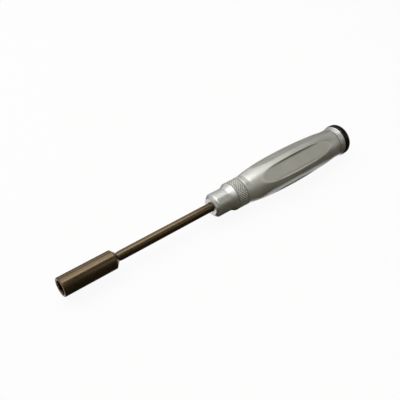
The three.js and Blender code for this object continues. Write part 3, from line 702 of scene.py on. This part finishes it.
def make_floor():
    """Floor with low walls far away, white to the camera and in reflections, under a faint shadow."""
    half, wall, white_share = 6.0, 2.3, 0.92
    edge = [(-half, -half), (half, -half), (half, half), (-half, half)]
    corners = [(x, y, z) for z in (0, wall) for x, y in edge]
    walls = [((i + 1) % 4, i, i + 4, (i + 1) % 4 + 4) for i in range(4)]
    mesh = bpy.data.meshes.new("floor")
    mesh.from_pydata(corners, [], [(0, 1, 2, 3), *walls])
    material = bpy.data.materials.new("pale floor")
    material.use_nodes = True
    tree = material.node_tree
    paint = tree.nodes["Principled BSDF"]
    paint.inputs["Base Color"].default_value = (0.9, 0.9, 0.9, 1)
    paint.inputs["Roughness"].default_value = 1.0
    paint.inputs["Specular IOR Level"].default_value = 0.0
    glow = tree.nodes.new("ShaderNodeEmission")
    rays = tree.nodes.new("ShaderNodeLightPath")
    mirrored = calc(tree, "MAXIMUM", rays.outputs["Is Glossy Ray"], rays.outputs["Is Transmission Ray"])
    seen = calc(tree, "MAXIMUM", rays.outputs["Is Camera Ray"], mirrored)
    mix = tree.nodes.new("ShaderNodeMixShader")
    tree.links.new(calc(tree, "MULTIPLY", seen, white_share), mix.inputs[0])
    tree.links.new(paint.outputs[0], mix.inputs[1])
    tree.links.new(glow.outputs[0], mix.inputs[2])
    tree.links.new(mix.outputs[0], tree.nodes["Material Output"].inputs["Surface"])
    mesh.materials.append(material)
    floor = bpy.data.objects.new("floor", mesh)
    bpy.context.collection.objects.link(floor)


def make_softbox(name, around, rise, ahead, distance, width, depth, radiance, colour=(1.0, 1.0, 1.0)):
    """Area lamp that looks at the driver: around and rise in degrees, ahead towards the socket."""
    lamp = bpy.data.lights.new(name, "AREA")
    lamp.shape = "RECTANGLE"
    lamp.size = width
    lamp.size_y = depth
    lamp.color = colour
    lamp.energy = radiance * width * depth * math.pi
    box = bpy.data.objects.new(name, lamp)
    turn, lift = math.radians(around), math.radians(rise)
    aim = Vector((-ahead, 0, AXIS_HEIGHT * MM))
    out = Vector((math.sin(turn) * math.cos(lift), -math.cos(turn) * math.cos(lift), math.sin(lift)))
    box.location = aim + out * distance
    box.rotation_euler = out.to_track_quat("Z", "Y").to_euler()
    bpy.context.collection.objects.link(box)


def make_card(name, grey, across, depth, height):
    """Card that only reflections see, a painted dark reflection standing in for shade around the driver, lying
    on the floor or standing: its range along X, Y and Z.
    """
    mesh = bpy.data.meshes.new(name)
    (left, right), (near, far), (low, high) = across, depth, height
    corners = [(left, near, low), (right, near, low), (right, far, high), (left, far, high)]
    mesh.from_pydata(corners, [], [(0, 1, 2, 3)])
    material = bpy.data.materials.new(name)
    material.use_nodes = True
    paint = material.node_tree.nodes["Principled BSDF"]
    paint.inputs["Base Color"].default_value = (*grey, 1)
    paint.inputs["Roughness"].default_value = 1.0
    paint.inputs["Specular IOR Level"].default_value = 0.0
    mesh.materials.append(material)
    card = bpy.data.objects.new(name, mesh)
    card.visible_camera = False
    card.visible_diffuse = False
    card.visible_shadow = False
    bpy.context.collection.objects.link(card)


def make_light():
    world = bpy.data.worlds.new("studio")
    bpy.context.scene.world = world
    world.use_nodes = True
    room = world.node_tree.nodes["Background"]
    room.inputs["Color"].default_value = (0.175, 0.166, 0.131, 1)
    room.inputs["Strength"].default_value = 1.0
    make_softbox("overhead box", 180, 62.5, 0.155, 0.6, 0.9, 0.62, 1.5)
    make_softbox("overhead strip", 180, 81, 0.155, 0.6, 0.9, 0.16, 1.5)
    make_softbox("shoulder strip", 0, 80, 0.3, 0.6, 0.5, 0.16, 1.2)
    make_softbox("back fill", 162, 18, 0.0, 0.8, 0.4, 0.3, 0.45)
    make_softbox("front fill", -38, 56, 0.0, 0.7, 0.4, 0.4, 0.6)
    make_softbox("rear fill", 138, 50, 0.0, 0.8, 0.5, 0.45, 0.36)
    make_softbox("side fill", 42, 41, 0.0, 0.7, 0.46, 0.46, 0.36, (1.0, 1.0, 0.92))
    # Cards seen only in reflections: painted dark and dim reflections that stand in for the shade below, in
    # front of and behind the driver
    on_floor = (0.00005, 0.00005)
    dark = (0.085, 0.075, 0.055)
    make_card("tip card", dark, (-0.8, 0.018), (-0.5, -0.003), on_floor)
    make_card("grip card", dark, (0.018, 0.8), (-0.5, -0.0095), on_floor)
    make_card("front card", (0.185, 0.155, 0.1), (-0.8, 0.9), (-0.5, -0.5), (0.0, 0.32))
    make_card("back card", (0.31, 0.29, 0.275), (-0.8, 0.8), (0.022, 0.8), on_floor)
    make_card("rear card", (0.31, 0.29, 0.275), (0.45, 1.8), (0.8, 0.8), (0.0, 0.3))


def make_camera():
    """Ahead of the mouth, square to a panel, turned so that the driver climbs to the right."""
    ahead, distance, rise, aimed_at, above = 65.0, 273.0, math.radians(56), 86.3, 5.99
    looks_at = Vector((aimed_at - MIDDLE, above * math.sin(rise), AXIS_HEIGHT + above * math.cos(rise))) * MM
    climb = math.radians(27.55)
    height = AXIS_HEIGHT + distance * math.sin(rise)
    place = Vector((-ahead - MIDDLE, -distance * math.cos(rise), height)) * MM
    back = (place - looks_at).normalized()
    along = Vector((1, 0, 0))
    along = (along - back * along.dot(back)).normalized()
    across = back.cross(along)
    right = along * math.cos(climb) - across * math.sin(climb)
    up = along * math.sin(climb) + across * math.cos(climb)
    lens = bpy.data.cameras.new("camera")
    lens.sensor_width = 36.0
    lens.lens = 53.1
    lens.clip_start = 0.01
    camera = bpy.data.objects.new("camera", lens)
    turn = Matrix((right, up, back)).transposed().to_4x4()
    camera.matrix_world = Matrix.Translation(place) @ turn
    bpy.context.collection.objects.link(camera)
    bpy.context.scene.camera = camera


def main():
    bpy.context.scene.view_settings.view_transform = "Standard"
    coating = bronze_coating()
    polished = polished_aluminium()
    blackened = ground_metal("blackened steel", (0.06, 0.06, 0.065), (0.1, 0.1, 0.105), 0.35, 0.5)
    bearing = ground_metal("bearing steel", (0.62, 0.63, 0.64), (0.7, 0.71, 0.72), 0.12, 0.22)
    brass = ground_metal("stamped brass", (0.56, 0.42, 0.2), (0.66, 0.52, 0.28), 0.25, 0.36)
    make_socket(coating)
    make_shaft(coating)
    make_nose(polished)
    make_set_screw(blackened)
    # The knurl's grooves get painted shade
    make_knurled_ring(satin_aluminium("knurled aluminium", "knurl_groove", 0.85))
    make_grip(satin_aluminium("satin aluminium", "panel_corner", 0.5, "panel_rim"))
    make_ferrule(polished)
    make_cap(black_cap())
    inner = {
        "bearing_circlip": blackened, "cap_screw": blackened, "cap_washer": bearing, "bearing_cage": brass}
    for name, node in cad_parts.items():
        if name.startswith("bearing") or name in inner:
            node.data.materials.clear()
            node.data.materials.append(inner.get(name, bearing))
    make_floor()
    make_light()
    make_camera()


main()
